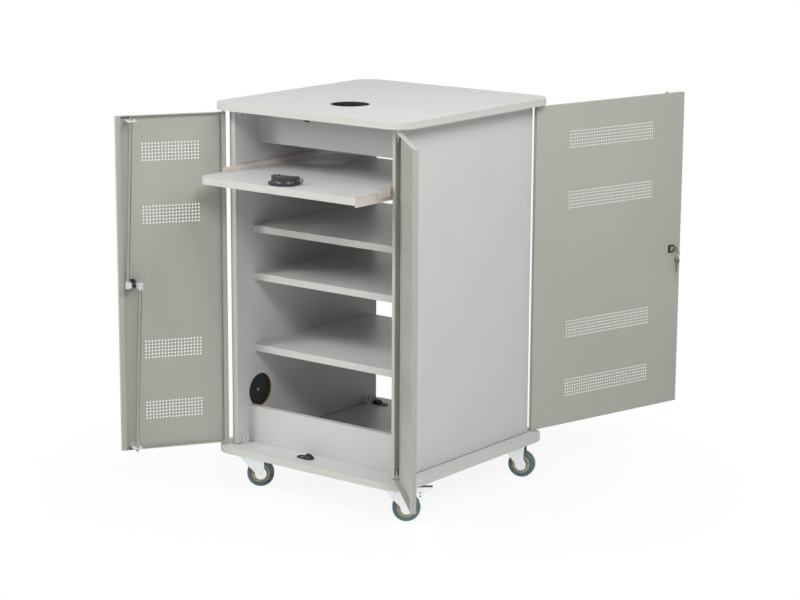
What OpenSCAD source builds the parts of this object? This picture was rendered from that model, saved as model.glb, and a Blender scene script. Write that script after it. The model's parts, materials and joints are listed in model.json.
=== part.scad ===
// Lockable equipment cabinet on castors, with two front leaves, one rear door and a pull-out shelf.
// X runs to the right as one faces the front, Y runs to the back, Z runs up from the floor.
// The origin is on the floor, in the middle of the boards' plan. All sizes are in millimetres.

/* [Boards] */
// Width of the top and base boards
board_w = 660; // [620:5:760]
// Depth of the top and base boards
board_d = 685; // [660:5:760]
// Thickness of every melamine-faced board
board_t = 19; // [18:0.5:22]
// Corner radius of the top and base boards, in plan
board_corner_r = 60; // [40:5:80]
// Height from the underside of the base board to the face of the top board
body_h = 970; // [930:5:1100]
// Radius of the cable hole in the top board
cable_hole_r = 53; // [30:1:60]
// Cable hole's centre, left of the middle
cable_hole_left = 9; // [0:1:40]
// Front edge of the boards to the cable hole's centre
cable_hole_back = 211.5; // [208:0.5:260]
// Wall of the liner in the cable hole
liner_wall = 2; // [1:0.5:4]

/* [Panels] */
// Side edge of the boards to the outer face of a side panel
panel_inset = 43; // [35:1:55]
// Front edge of the boards to the front edge of the side panels
panel_front = 40; // [36:1:50]
// Rear edge of the boards to the rear edge of the hinge-side panel
right_panel_rear = 43.5; // [40:0.5:50]
// Rear edge of the boards to the rear edge of the panel beside the rear door's free end
left_panel_rear = 28.5; // [26:0.5:40]
// Height of the kick panel above the base board
kick_h = 103; // [80:1:120]
// Front edge of the boards to the face of the kick panel
kick_setback = 86.5; // [80:0.5:100]
// Depth of the fascia below the top board
fascia_h = 98; // [70:1:110]
// Front edge of the boards to the face of the fascia
fascia_setback = 133.5; // [125:0.5:150]
// Radius of the cable port in the left panel
port_r = 46; // [30:1:48]
// Front edge of the boards to the middle of the cable port
port_back = 134.5; // [130:0.5:160]
// Base board's face to the middle of the cable port
port_up = 138; // [110:1:160]
// Depth of the port's plug below the inner face of the panel
port_recess = 5.5; // [2:0.5:8]

/* [Fixed shelves] */
// Front edge of the boards to the front edge of the shelves
shelf_setback = 112.5; // [105:0.5:130]
// Depth of the fixed shelves
shelf_depth = 500; // [420:5:510]
// Clear height of the bay under the lower shelf
lower_bay = 253; // [220:1:265]
// Clear height of the bay between the lower and middle shelf
middle_bay = 182.5; // [160:0.5:190]
// Clear height of the bay between the middle and upper shelf
upper_bay = 114; // [90:1:120]
// Diameter of the shelf support pins
shelf_pin_d = 5; // [4:0.5:8]
// Length of a shelf support pin
shelf_pin_l = 20; // [14:1:24]
// Shelf's end to the nearest support pin
shelf_pin_inset = 60; // [40:5:90]

/* [Pull-out shelf] */
// Underside of the top board to the face of the pull-out shelf
pullout_drop = 165.5; // [150:0.5:175]
// Side of the pull-out shelf to the inner face of a panel
pullout_side = 10; // [10:0.5:16]
// Depth of the pull-out shelf
pullout_depth = 557; // [500:1:558]
// Front edge of the boards to the front of the pull-out shelf when it is in
pullout_setback = 58.5; // [57:0.5:64]
// How far the pull-out shelf is drawn out
shelf_pull = 159.5; // [0:0.5:420]
// Length of the runner members
runner_l = 545; // [480:1:550]
// Height of the runner member on the shelf
shelf_runner_h = 27; // [25:0.5:32]
// Height of the middle runner member
middle_runner_h = 27; // [25:0.5:30]
// Height of the runner member on the cabinet panel
cabinet_runner_h = 33; // [32:0.5:40]
// Sheet of the runner members
runner_sheet = 1.2; // [1:0.1:1.5]
// Diameter of the roller at the front of the middle runner
roller_d = 11; // [8:0.5:12]
// Radius of the anchor's foot
anchor_base_r = 48; // [45:1:52]
// Radius of the anchor's crown
anchor_top_r = 40; // [34:1:44]
// Height of the anchor
anchor_h = 22; // [20:1:28]
// Front edge of the pull-out shelf to the middle of the anchor's back
anchor_back = 60.5; // [55:0.5:90]
// Middle of the anchor, left of the middle of the shelf
anchor_left = 19; // [0:1:60]

/* [Doors] */
// Sheet of the doors
door_sheet = 1; // [0.8:0.1:1.5]
// Depth of a door's folded pan
door_depth = 14; // [13:0.5:18]
// Width of the lip folded in along a door's long edges
door_lip = 13.5; // [10:0.5:18]
// Gap between a door's end and the board above or below it
door_end_gap = 7.5; // [5:0.5:10]
// Outer face of a panel to the pivots beside it
pivot_out = 10; // [9:0.5:14]
// Front edge of the panels to the front pivots
front_pivot_ahead = 15; // [13.5:0.5:20]
// Rear edge of the hinge-side panel to the rear pivots
rear_pivot_behind = 8.5; // [8:0.5:12]
// Overhang of a door's end past its pivots
hinge_end = 6; // [5.5:0.5:7]
// Gap between the two front leaves when closed
leaf_gap = 3; // [2:0.5:6]
// Gap between the closed rear door and the left panel
rear_free_gap = 8; // [3:0.5:12]
// How far the left front leaf stands open, in degrees
left_open = 123.2; // [0:0.1:265]
// How far the right front leaf stands open, in degrees
right_open = 136; // [0:0.1:265]
// How far the rear door stands open, in degrees
rear_open = 104.6; // [0:0.1:255]
// Diameter of the door pivot pins
pivot_d = 8; // [6:0.5:9]
// How far a pivot pin stands up into a door
pivot_reach = 26; // [18:1:32]
// Height of the pivot block inside a door's end
pivot_block_h = 14; // [10:1:16]

/* [Vents] */
// Diameter of a vent hole
vent_d = 4.5; // [3:0.5:6]
// Spacing of the vent holes
vent_pitch = 9; // [8:0.5:10]
// Rows of holes in a vent
vent_rows = 6; // [2:1:6]
// Columns of holes in a vent of a front leaf
leaf_vent_columns = 18; // [6:1:20]
// Columns of holes in a vent of the rear door
rear_vent_columns = 36; // [6:1:40]
// Door's top end to the upper row of the highest vent
vent_top = 77.5; // [60:0.5:100]
// Door's bottom end to the lower row of the lowest vent
vent_bottom = 82.5; // [60:0.5:100]
// Step from an end vent to the next one
vent_step = 170.5; // [140:0.5:190]

/* [Locks] */
// Free edge of a door to the lock's axis
lock_inset = 38; // [30:1:44]
// Height of the lock above the middle of a door
lock_up = 3; // [0:1:20]
// Distance from the lock's axis to each rod pin on the cam
cam_reach = 17; // [15:0.5:19]
// Diameter of the lock rods
rod_d = 7.4; // [6:0.1:8]
// Lips of a door to the middle of the rods
rod_stand = 20; // [19:0.5:24]
// Clearance of a rod's tip inside the end of the door
rod_tip_in = 0.5; // [0:0.5:3]
// Width of the slot in a rod guide
guide_slot = 16.5; // [15:0.5:20]
// Door's end to the plate of a rod guide
guide_in = 9; // [8.5:0.5:14]
// Side of the square lock plate outside a door
lock_plate = 22; // [20:1:28]
// Radius of the lock plug
plug_r = 6; // [5:0.5:7]
// Height of the hood on a rod keep
keep_h = 13.5; // [8:0.5:13.5]
// Width of a rod keep
keep_w = 26; // [22:1:30]

/* [Castors] */
// Overall height of a castor
castor_h = 100; // [95:1:120]
// Diameter of a castor wheel
wheel_d = 75; // [70:1:80]
// Width of a castor wheel
wheel_w = 25; // [20:1:30]
// Swivel axis to the wheel's axle
castor_trail = 42; // [30:1:45]
// Side edge of the boards to a swivel axis
castor_side = 75.5; // [60:0.5:90]
// Front edge of the boards to the front swivel axes
castor_front = 54.5; // [50:0.5:90]
// Rear edge of the boards to the rear swivel axes
castor_rear = 91; // [50:1:100]
// Side of the square castor plate
castor_plate = 60; // [56:1:70]
// Direction in which the front castors trail, in degrees from X
front_trail = 40; // [0:1:360]
// Direction in which the rear castors trail, in degrees from X
rear_trail = 18; // [0:1:360]

/* [Hidden] */

$fn = 64;
// Overlap of a cutting shape past the face that it cuts
past = 1;
// Radial clearance of a pin that turns in its hole
run = 0.05;
// Gap between curved faces of different moving pieces
air = 0.3;

// Levels above the floor
base_z = castor_h;
floor_z = base_z + board_t;
top_z = base_z + body_h;
ceiling_z = top_z - board_t;

// Plan of the carcass
panel_x = board_w / 2 - panel_inset;
inner_x = panel_x - board_t;
panel_front_y = -board_d / 2 + panel_front;
right_rear_y = board_d / 2 - right_panel_rear;
left_rear_y = board_d / 2 - left_panel_rear;
kick_y = -board_d / 2 + kick_setback;
fascia_y = -board_d / 2 + fascia_setback;
cable_hole_y = -board_d / 2 + cable_hole_back;
shelf_y = -board_d / 2 + shelf_setback;
port_y = -board_d / 2 + port_back;
port_z = floor_z + port_up;
lower_shelf_z = floor_z + lower_bay;
middle_shelf_z = lower_shelf_z + board_t + middle_bay;
upper_shelf_z = middle_shelf_z + board_t + upper_bay;

// Doors: a door is drawn closed along X from its pivot, with its outer face to the front
leaf_pivot_x = panel_x + pivot_out;
front_pivot_y = panel_front_y - front_pivot_ahead;
rear_pivot_y = right_rear_y + rear_pivot_behind;
leaf_reach = leaf_pivot_x - leaf_gap / 2;
rear_reach = leaf_pivot_x + inner_x - rear_free_gap;
door_z = floor_z + door_end_gap;
door_h = ceiling_z - floor_z - 2 * door_end_gap;
door_in = door_depth / 2;
skin_in = -door_in + door_sheet;
lock_z = door_z + door_h / 2 + lock_up;

// Lock parts, measured inwards from the middle of a door's depth
rod_y = door_in + rod_stand;
eye_t = 6.4;
eye_w = 12;
eye_long = 13;
eye_short = 7;
eye_root = 4;
cam_t = 3;
cam_y = rod_y - eye_t / 2 - air - cam_t;
cam_w = 12;
rod_pin_r = 2;
rod_pin_head_r = 3.5;
rod_pin_head_t = 1.2;
rod_pin_l = air + eye_t + air;
guide_t = 1.5;
guide_w = 26;
guide_lip = 3;
upper_guide_z = door_z + door_h - guide_in - guide_t;
lower_guide_z = door_z + guide_in;
upper_run = upper_guide_z - lock_z;
lower_run = lock_z - lower_guide_z;
upper_tilt = atan(cam_reach / upper_run);
lower_tilt = atan(cam_reach / lower_run);
upper_rod_l = (door_z + door_h - rod_tip_in - lock_z) / cos(upper_tilt);
lower_rod_l = (lock_z - door_z - rod_tip_in) / cos(lower_tilt);
barrel_r = 9;
nut_flats = 24;
nut_t = 4;
lock_plate_t = 3;
plug_out = 2;
key_t = 2;
key_bow = 22;
key_shank = 8;
key_hole_r = 2.5;
ring_wire = 1.6;
ring_r = 11;
spare_blade = 24;

// Keeps and their pockets in the boards
keep_t = 3;
keep_long_in = 10;
keep_long_out = 18;
keep_slot_in = 17;
keep_slot_out = 5;
keep_slot_w = 12;
keep_pocket = 12;
hood_x = 6;
hood_r = 16;
nub_r = 2.5;
nub_h = 1.5;
front_keep_x = -leaf_gap / 2 - lock_inset;
rear_keep_x = leaf_pivot_x - rear_reach + lock_inset;

// Pivots
bush_r = 7;
bush_flange_r = 10;
bush_flange_t = 1.5;
bush_l = 9;
pivot_r = pivot_d / 2;

// Pull-out shelf and its runners
pullout_top_z = ceiling_z - pullout_drop;
pullout_x = inner_x - pullout_side;
pullout_in_y = -board_d / 2 + pullout_setback;
pullout_y = pullout_in_y - shelf_pull;
shelf_runner_z = pullout_top_z - board_t - 4.5;
shelf_runner_top = shelf_runner_z + shelf_runner_h;
shelf_flange = 3.6;
middle_flange = 3.4;
cabinet_flange = 3;
middle_web_x = pullout_x + 4.6;
middle_runner_z = shelf_runner_top - 16;
middle_runner_y = pullout_in_y - shelf_pull / 2 + 8;
cabinet_runner_z = middle_runner_z - 3;
cabinet_runner_y = pullout_in_y + 5;
roller_w = 2.6;
roller_back = 20;
roller_axle_r = 1.5;
roller_z = shelf_runner_top - runner_sheet - air - roller_d / 2;
roller_y = middle_runner_y + roller_back;

// Castors
axle_z = wheel_d / 2;
plate_t = 2.5;
race_r = 21;
race_h = 7;
crown_r = 24;
crown_z = castor_h - plate_t - race_h - air;
crown_t = 3;
kingpin_r = 5;
fork_t = 2.5;
fork_gap = wheel_w / 2 + 1.5;
axle_r = 4;
axle_eye_r = 16.5;
axle_head_r = 5;
axle_head_t = 2.5;
rim_r = 26.5;
bore_wall = 6;
web_w = 8;
hub_w = wheel_w - 3;
screw_r = 2;
screw_l = 14;
screw_head_r = 4;
screw_head_t = 2.4;
screw_pitch = castor_plate - 16;
brake_pivot_x = castor_trail - 28;
brake_pivot_z = castor_h - 26;

module board_plan() {
  corner_x = board_w / 2 - board_corner_r;
  corner_y = board_d / 2 - board_corner_r;
  square([board_w, 2 * corner_y], center = true);
  square([2 * corner_x, board_d], center = true);
  for (x = [-corner_x, corner_x])
    for (y = [-corner_y, corner_y])
      translate([x, y])
        circle(r = board_corner_r, $fn = 96);
}

// Places a door's children at its pivot, turned open by the given angle
module at_left_leaf(open = left_open) {
  translate([-leaf_pivot_x, front_pivot_y, 0])
    rotate([0, 0, -open])
      children();
}

module at_right_leaf(open = right_open) {
  translate([leaf_pivot_x, front_pivot_y, 0])
    rotate([0, 0, open])
      mirror([1, 0, 0])
        children();
}

module at_rear_door(open = rear_open) {
  translate([leaf_pivot_x, rear_pivot_y, 0])
    rotate([0, 0, 180 - open])
      children();
}

// Each closed position of a rod keep, on the base board's face or under the top board
module at_keeps() {
  for (up = [0, 1])
    translate([0, 0, up ? ceiling_z : floor_z])
      mirror([0, 0, up]) {
        translate([front_keep_x, front_pivot_y + rod_y, 0])
          children();
        translate([rear_keep_x, rear_pivot_y - rod_y, 0])
          rotate([0, 0, 180])
            children();
      }
}

// The six door pivots, three on the base board and three under the top board
module at_pivots() {
  for (up = [0, 1])
    translate([0, 0, up ? ceiling_z : floor_z])
      mirror([0, 0, up])
        for (p = [
            [-leaf_pivot_x, front_pivot_y], [leaf_pivot_x, front_pivot_y], [leaf_pivot_x, rear_pivot_y]])
          translate([p.x, p.y, 0])
            children();
}

module keep_pocket_cut() {
  translate([-keep_slot_in, -keep_slot_w / 2, -keep_pocket])
    cube([keep_slot_in + keep_slot_out, keep_slot_w, keep_pocket + past]);
}

module bush_hole_cut() {
  translate([0, 0, -bush_l - air])
    cylinder(r = bush_r + run, h = bush_l + air + past);
}

module castor_spots() {
  for (x = [-1, 1])
    for (y = [-board_d / 2 + castor_front, board_d / 2 - castor_rear])
      translate([x * (board_w / 2 - castor_side), y, 0])
        children();
}

module plate_screw_spots() {
  for (x = [-1, 1])
    for (y = [-1, 1])
      translate([x * screw_pitch / 2, y * screw_pitch / 2, 0])
        children();
}

// Carcass
module top_board() {
  color("gainsboro")
    difference() {
      translate([0, 0, ceiling_z])
        linear_extrude(board_t)
          board_plan();
      translate([-cable_hole_left, cable_hole_y, ceiling_z - past])
        cylinder(r = cable_hole_r, h = board_t + 2 * past, $fn = 96);
      intersection() {
        at_keeps()
          keep_pocket_cut();
        translate([-board_w, -board_d, ceiling_z - past])
          cube([2 * board_w, 2 * board_d, board_t]);
      }
      intersection() {
        at_pivots()
          bush_hole_cut();
        translate([-board_w, -board_d, ceiling_z - past])
          cube([2 * board_w, 2 * board_d, board_t]);
      }
    }
}

module cable_hole_liner() {
  color("dimgray")
    translate([-cable_hole_left, cable_hole_y, ceiling_z])
      difference() {
        cylinder(r = cable_hole_r - run, h = board_t - 0.5, $fn = 96);
        translate([0, 0, -past])
          cylinder(r = cable_hole_r - liner_wall, h = board_t + 2 * past, $fn = 96);
      }
}

module base_board() {
  color("gainsboro")
    difference() {
      translate([0, 0, base_z])
        linear_extrude(board_t)
          board_plan();
      intersection() {
        union() {
          at_keeps()
            keep_pocket_cut();
          at_pivots()
            bush_hole_cut();
        }
        translate([-board_w, -board_d, base_z])
          cube([2 * board_w, 2 * board_d, board_t + past]);
      }
      castor_spots()
        plate_screw_spots()
          translate([0, 0, base_z - past])
            cylinder(r = screw_r + run, h = screw_l - plate_t + past + air, $fn = 24);
    }
}

// Holes for the shelf pins in the inner face of the left panel, or mirrored in the right one
module shelf_pin_spots() {
  for (z = [lower_shelf_z, middle_shelf_z, upper_shelf_z])
    for (y = [shelf_y + shelf_pin_inset, shelf_y + shelf_depth - shelf_pin_inset])
      translate([-inner_x, y, z - shelf_pin_d / 2])
        children();
}

module shelf_pin_holes() {
  shelf_pin_spots()
    translate([-shelf_pin_l / 2 - air, 0, 0])
      rotate([0, 90, 0])
        cylinder(r = shelf_pin_d / 2 + run, h = shelf_pin_l / 2 + air + past, $fn = 24);
}

module side_panel_left() {
  color("silver")
    difference() {
      translate([-panel_x, panel_front_y, floor_z])
        cube([board_t, left_rear_y - panel_front_y, ceiling_z - floor_z]);
      translate([-panel_x - past, port_y, port_z])
        rotate([0, 90, 0])
          cylinder(r = port_r, h = board_t + 2 * past, $fn = 96);
      shelf_pin_holes();
    }
}

module side_panel_right() {
  color("silver")
    difference() {
      translate([inner_x, panel_front_y, floor_z])
        cube([board_t, right_rear_y - panel_front_y, ceiling_z - floor_z]);
      mirror([1, 0, 0])
        shelf_pin_holes();
    }
}

module kick_panel() {
  color("silver")
    translate([-inner_x, kick_y, floor_z])
      cube([2 * inner_x, board_t, kick_h]);
}

module front_fascia() {
  color("silver")
    translate([-inner_x, fascia_y, ceiling_z - fascia_h])
      cube([2 * inner_x, board_t, fascia_h]);
}

module fixed_shelf(z) {
  translate([-inner_x, shelf_y, z])
    cube([2 * inner_x, shelf_depth, board_t]);
}

module lower_shelf() {
  color("silver")
    fixed_shelf(lower_shelf_z);
}

module middle_shelf() {
  color("silver")
    fixed_shelf(middle_shelf_z);
}

module upper_shelf() {
  color("silver")
    fixed_shelf(upper_shelf_z);
}

module shelf_pins() {
  color("lightgray")
    for (side = [0, 1])
      mirror([side, 0, 0])
        shelf_pin_spots()
          translate([-shelf_pin_l / 2, 0, 0])
            rotate([0, 90, 0])
              cylinder(d = shelf_pin_d, h = shelf_pin_l, $fn = 24);
}

// White corner connector: a block with a round end and an open slot, against the panel and the board
connector_w = 23;
connector_h = 26;
connector_t = 5;
connector_slot_w = 9;
connector_ahead = 16;

module connector() {
  rotate([90, 0, 90])
    linear_extrude(connector_t)
      difference() {
        union() {
          translate([-connector_w / 2, 0])
            square([connector_w, connector_h - connector_w / 2]);
          translate([0, connector_h - connector_w / 2])
            circle(d = connector_w);
        }
        translate([-connector_slot_w / 2, connector_h / 2 - connector_slot_w / 2])
          square([connector_slot_w, connector_slot_w]);
        for (z = [-1, 1])
          translate([0, connector_h / 2 + z * connector_slot_w / 2])
            circle(d = connector_slot_w);
      }
}

module panel_connectors() {
  color("white")
    for (side = [0, 1])
      mirror([side, 0, 0])
        for (up = [0, 1])
          translate([-inner_x, 0, up ? ceiling_z : floor_z])
            mirror([0, 0, up]) {
              translate([0, panel_front_y + connector_ahead + connector_w / 2, 0])
                connector();
              translate([0, right_rear_y - connector_ahead - connector_w / 2, 0])
                connector();
            }
}

// Blanking plug of the cable port: a cup with a flange on the panel's outer face
plug_flange_r = 4;
plug_flange_t = 2;
plug_wall = 3;

module port_plug() {
  cup_depth = board_t - port_recess - plug_wall;
  color("dimgray")
    translate([-panel_x, port_y, port_z])
      rotate([0, 90, 0])
        difference() {
          union() {
            translate([0, 0, -plug_flange_t])
              cylinder(r = port_r + plug_flange_r, h = plug_flange_t, $fn = 96);
            cylinder(r = port_r - run, h = board_t - port_recess, $fn = 96);
          }
          translate([0, 0, -plug_flange_t - past])
            cylinder(r = port_r - plug_wall, h = plug_flange_t + past + cup_depth, $fn = 96);
        }
}

module pan_screw(head_r, head_t, shank_r, length) {
  cylinder(r = head_r, h = head_t, $fn = 32);
  translate([0, 0, -length])
    cylinder(r = shank_r, h = length, $fn = 24);
}

module fixing_screws() {
  color("silver") {
    castor_spots()
      plate_screw_spots()
        translate([0, 0, base_z - plate_t])
          rotate([180, 0, 0])
            pan_screw(screw_head_r, screw_head_t, screw_r, screw_l);
    translate([-inner_x - port_recess, port_y - 4, port_z])
      rotate([0, 90, 0])
        cylinder(r = screw_head_r, h = screw_head_t, $fn = 32);
  }
}

// Rod keep: an oval plate with a slot over the pocket, and a hood beside the slot
module keep_outline() {
  translate([-keep_long_in, -keep_w / 2])
    square([keep_long_in + keep_long_out, keep_w]);
  for (x = [-keep_long_in, keep_long_out])
    translate([x, 0])
      circle(d = keep_w);
}

module rod_keeps() {
  color("black")
    at_keeps() {
      linear_extrude(keep_t)
        difference() {
          keep_outline();
          translate([-keep_slot_in, -keep_slot_w / 2])
            square([keep_slot_in + keep_slot_out, keep_slot_w]);
        }
      intersection() {
        translate([hood_x + hood_r / 2, 0, keep_h - hood_r])
          sphere(r = hood_r);
        translate([hood_x, -keep_w, 0])
          cube([4 * hood_r, 2 * keep_w, keep_h]);
        linear_extrude(keep_h)
          keep_outline();
      }
      translate([hood_x + hood_r / 2, 0, keep_h - 0.5])
        cylinder(r = nub_r, h = nub_h + 0.5, $fn = 32);
    }
}

module pivot_pins() {
  color("lightsteelblue")
    at_pivots()
      translate([0, 0, -bush_l])
        cylinder(r = pivot_r, h = bush_l + door_end_gap + pivot_reach);
}

module pivot_bushes() {
  color("lightgray")
    at_pivots()
      difference() {
        union() {
          translate([0, 0, -bush_l])
            cylinder(r = bush_r, h = bush_l);
          cylinder(r = bush_flange_r, h = bush_flange_t);
        }
        translate([0, 0, -bush_l - past])
          cylinder(r = pivot_r + run, h = bush_l + bush_flange_t + 2 * past);
      }
}

// Runners: each member is a web with flanges, drawn for the right-hand side
module runner(web_x, y, z, length, height, flange) {
  from_x = min(web_x, web_x + flange);
  translate([web_x, y, z])
    cube([runner_sheet, length, height]);
  for (edge = [z, z + height - runner_sheet])
    translate([from_x, y, edge])
      cube([abs(flange), length, runner_sheet]);
}

module cabinet_runners() {
  color("antiquewhite")
    for (side = [0, 1])
      mirror([side, 0, 0])
        runner(
          inner_x - runner_sheet, cabinet_runner_y, cabinet_runner_z,
          runner_l, cabinet_runner_h, -cabinet_flange);
}

module middle_runners() {
  color("antiquewhite")
    for (side = [0, 1])
      mirror([side, 0, 0]) {
        runner(middle_web_x, middle_runner_y, middle_runner_z, runner_l, middle_runner_h, middle_flange);
        translate([middle_web_x - roller_w - 2 * air, roller_y, roller_z])
          rotate([0, 90, 0])
            cylinder(r = roller_axle_r, h = roller_w + 2 * air + runner_sheet + 0.6, $fn = 24);
      }
}

module roller() {
  translate([middle_web_x - roller_w - air, roller_y, roller_z])
    rotate([0, 90, 0])
      difference() {
        cylinder(d = roller_d, h = roller_w, $fn = 48);
        translate([0, 0, -past])
          cylinder(r = roller_axle_r + run, h = roller_w + 2 * past, $fn = 24);
      }
}

module roller_right() {
  color("white")
    roller();
}

module roller_left() {
  color("white")
    mirror([1, 0, 0])
      roller();
}

module pullout_shelf() {
  color("silver")
    translate([-pullout_x, pullout_y, pullout_top_z - board_t])
      cube([2 * pullout_x, pullout_depth, board_t]);
}

module shelf_runners() {
  color("antiquewhite")
    for (side = [0, 1])
      mirror([side, 0, 0])
        runner(pullout_x, pullout_y, shelf_runner_z, runner_l, shelf_runner_h, shelf_flange);
}

// Security anchor: half of a round moulding with a hollow flare at its foot, a flat back and a lock barrel
anchor_turn = 11;
anchor_foot = 5;
anchor_back_t = 3;
anchor_end = 38;
anchor_lock_r = 7;
anchor_lock_l = 18;
anchor_lock_out = 5;
anchor_lock_z = 9.5;
anchor_nub_r = 3;
anchor_nub_h = 2;

module anchor_spot() {
  translate([-anchor_left, pullout_y + anchor_back, pullout_top_z])
    rotate([0, 0, anchor_turn])
      children();
}

module anchor_body() {
  flare_r = anchor_base_r - anchor_top_r;
  color("darkslategray")
    anchor_spot() {
      difference() {
        union() {
          difference() {
            cylinder(r = anchor_base_r, h = anchor_foot + flare_r, $fn = 128);
            translate([0, 0, anchor_foot + flare_r])
              rotate_extrude($fn = 128)
                translate([anchor_base_r, 0])
                  circle(r = flare_r, $fn = 64);
          }
          cylinder(r = anchor_top_r, h = anchor_h, $fn = 128);
        }
        translate([-2 * anchor_base_r, anchor_back_t, -past])
          cube([4 * anchor_base_r, 2 * anchor_base_r, anchor_h + 2 * past]);
        translate([anchor_end, -2 * anchor_base_r, -past])
          cube([anchor_base_r, 4 * anchor_base_r, anchor_h + 2 * past]);
        translate([anchor_end + anchor_lock_out - anchor_lock_l, anchor_lock_r, anchor_lock_z])
          rotate([0, 90, 0])
            cylinder(r = anchor_lock_r + run, h = anchor_base_r, $fn = 48);
      }
      translate([-anchor_top_r / 2, -anchor_nub_r, anchor_h - past])
        cylinder(r = anchor_nub_r, h = anchor_nub_h + past, $fn = 32);
    }
}

module anchor_lock() {
  color("silver")
    anchor_spot()
      translate([anchor_end + anchor_lock_out - anchor_lock_l, anchor_lock_r, anchor_lock_z])
        rotate([0, 90, 0])
          difference() {
            cylinder(r = anchor_lock_r, h = anchor_lock_l, $fn = 48);
            translate([0, 0, anchor_lock_l - 2])
              cylinder(r = anchor_lock_r - 3, h = 2 + past, $fn = 48);
          }
}

// Door pan, hinged at the origin: skin, four edges, and a lip along each long edge
module vent(columns, z) {
  for (i = [0 : columns - 1])
    for (j = [0 : vent_rows - 1])
      translate([vent_pitch * (i - (columns - 1) / 2), z + vent_pitch * j])
        circle(d = vent_d, $fn = 16);
}

// Plan of a bent sheet: a rectangle with rounded corners, from two corners
module bent_plan(from, to, r) {
  translate([from.x + r, from.y])
    square([to.x - from.x - 2 * r, to.y - from.y]);
  translate([from.x, from.y + r])
    square([to.x - from.x, to.y - from.y - 2 * r]);
  for (x = [from.x + r, to.x - r])
    for (y = [from.y + r, to.y - r])
      translate([x, y])
        circle(r = r, $fn = 32);
}

door_bend = 2;

module door_pan(reach, columns) {
  vent_span = vent_pitch * (vent_rows - 1);
  width = reach + hinge_end;
  skin_x = -hinge_end + 2 * door_bend;
  skin_w = width - 4 * door_bend;
  difference() {
    union() {
      translate([skin_x, skin_in, door_z])
        rotate([90, 0, 0])
          linear_extrude(door_sheet)
            difference() {
              square([skin_w, door_h]);
              translate([skin_w / 2, 0])
                for (k = [0, 1]) {
                  vent(columns, vent_bottom + k * vent_step);
                  vent(columns, door_h - vent_top - vent_span - k * vent_step);
                }
            }
      translate([0, 0, door_z])
        linear_extrude(door_h)
          difference() {
            bent_plan([-hinge_end, -door_in], [reach, door_in], door_bend);
            bent_plan(
              [-hinge_end + door_sheet, skin_in], [reach - door_sheet, door_in - door_sheet],
              door_bend - door_sheet);
            translate([skin_x, -door_in - past])
              square([skin_w, door_in]);
            translate([-hinge_end + door_lip, 0])
              square([width - 2 * door_lip, door_depth]);
          }
      for (z = [door_z, door_z + door_h - door_sheet])
        translate([0, 0, z])
          linear_extrude(door_sheet)
            bent_plan([-hinge_end, -door_in], [reach, door_in], door_bend);
    }
    translate([0, 0, door_z - past])
      cylinder(r = pivot_r + air, h = door_h + 2 * past);
  }
}

module lock_hole_cut(reach) {
  translate([reach - lock_inset, 0, lock_z])
    rotate([90, 0, 0])
      cylinder(r = barrel_r + run, h = door_depth, center = true);
}

module pivot_blocks() {
  for (z = [door_z + door_sheet, door_z + door_h - door_sheet - pivot_block_h])
    difference() {
      translate([0, 0, z])
        linear_extrude(pivot_block_h)
          bent_plan(
            [door_sheet - hinge_end, skin_in], [hinge_end - door_sheet, door_in - door_sheet],
            door_bend);
      translate([0, 0, z - past])
        cylinder(r = pivot_r + run, h = pivot_block_h + 2 * past);
    }
}

module lock_body(reach) {
  translate([reach - lock_inset, 0, lock_z])
    rotate([-90, 0, 0])
      difference() {
        union() {
          translate([-lock_plate / 2, -lock_plate / 2, -door_in - lock_plate_t])
            cube([lock_plate, lock_plate, lock_plate_t]);
          translate([0, 0, -door_in])
            cylinder(r = barrel_r, h = cam_y - air + door_in);
        }
        translate([0, 0, -door_in - lock_plate_t - past])
          cylinder(r = plug_r + run, h = 2 * door_depth + cam_y + past);
      }
  translate([reach - lock_inset, skin_in, lock_z])
    rotate([-90, 0, 0])
      difference() {
        cylinder(d = nut_flats / cos(30), h = nut_t, $fn = 6);
        translate([0, 0, -past])
          cylinder(r = barrel_r + run, h = nut_t + 2 * past);
      }
}

module rod_guide(up) {
  slot_d = rod_d + 1.6;
  difference() {
    union() {
      translate([-guide_w / 2, skin_in, 0])
        cube([guide_w, rod_y + slot_d / 2 + 4 - skin_in, guide_t]);
      translate([-guide_w / 2, skin_in, up ? -8 : 0])
        cube([guide_w, guide_t, 8 + guide_t]);
      translate([-guide_w / 2, rod_y + slot_d / 2 + 4 - guide_t, up ? -guide_lip : 0])
        cube([guide_w, guide_t, guide_lip + guide_t]);
    }
    translate([-guide_slot / 2, rod_y - slot_d / 2, -past])
      cube([guide_slot, slot_d, guide_t + 2 * past]);
  }
}

module rod_guides(reach) {
  translate([reach - lock_inset, 0, upper_guide_z])
    rod_guide(true);
  translate([reach - lock_inset, 0, lower_guide_z])
    rod_guide(false);
}

// Plug and cam, drawn unlocked: the rod pins lie level, on either side of the axis
module plug_and_cam(reach) {
  translate([reach - lock_inset, 0, lock_z])
    rotate([-90, 0, 0]) {
      translate([0, 0, -door_in - lock_plate_t - plug_out])
        difference() {
          cylinder(r = plug_r, h = cam_y + door_in + lock_plate_t + plug_out);
          translate([-key_t / 2 - run, -plug_r + 1, -past])
            cube([key_t + 2 * run, 2 * plug_r - 2, 6 + past]);
        }
      translate([0, 0, cam_y])
        linear_extrude(cam_t) {
          square([2 * cam_reach, cam_w], center = true);
          for (x = [-cam_reach, cam_reach])
            translate([x, 0])
              circle(d = cam_w);
        }
      translate([0, 0, cam_y + cam_t])
        cylinder(r = 6.5, h = 3);
      for (x = [-cam_reach, cam_reach])
        translate([x, 0, cam_y + cam_t]) {
          cylinder(r = rod_pin_r, h = rod_pin_l + rod_pin_head_t);
          translate([0, 0, rod_pin_l])
            cylinder(r = rod_pin_head_r, h = rod_pin_head_t);
        }
    }
}

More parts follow.
